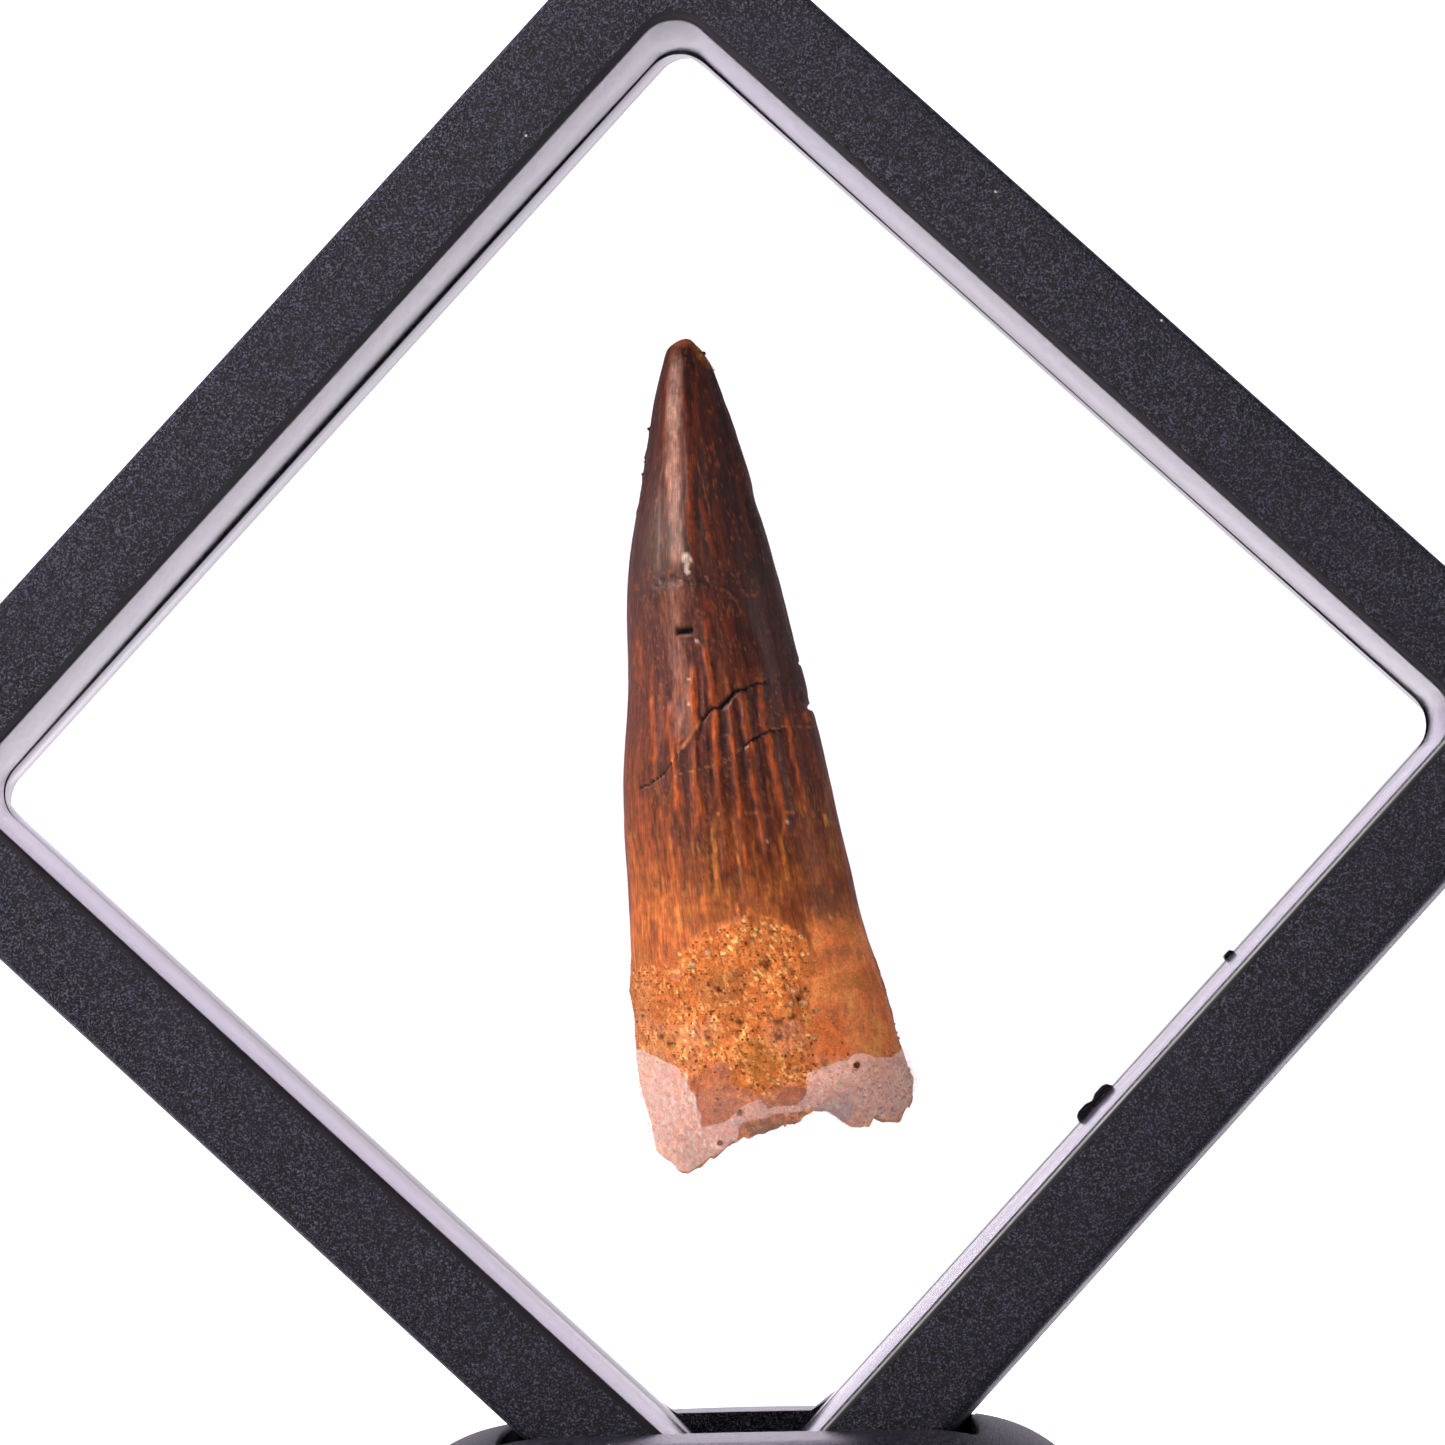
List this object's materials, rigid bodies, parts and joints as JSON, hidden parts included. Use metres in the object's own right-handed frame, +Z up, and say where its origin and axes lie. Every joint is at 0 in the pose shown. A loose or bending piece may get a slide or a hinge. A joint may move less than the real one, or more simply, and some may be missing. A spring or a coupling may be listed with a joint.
{
  "type": "framed spinosaurus tooth",
  "caption": "Fossil tooth with sandy matrix at its broken base, held between clear films in a square black frame that stands on one corner in a round slotted stand.",
  "frame": {"origin": "on the surface that the stand rests on, right under the middle of the frame", "axes": "+Z up, +X to the right of a viewer who faces the front film, and the front faces -Y"},
  "size_m": [0.1222, 0.057, 0.1264],
  "materials": {
    "fossil": "glossy fluted enamel over a rough sandy base",
    "film": "clear, thin and elastic, milky where it lifts off the specimen",
    "frame_plastic": "finely textured black moulding",
    "stand_plastic": "finely textured black moulding with a smooth slot"
  },
  "bodies": {
    "root": {"tooth": "fossil", "front_film": "film", "back_film": "film", "front_frame": "frame_plastic", "back_frame": "frame_plastic", "stand": "stand_plastic"}
  },
  "joints": []
}
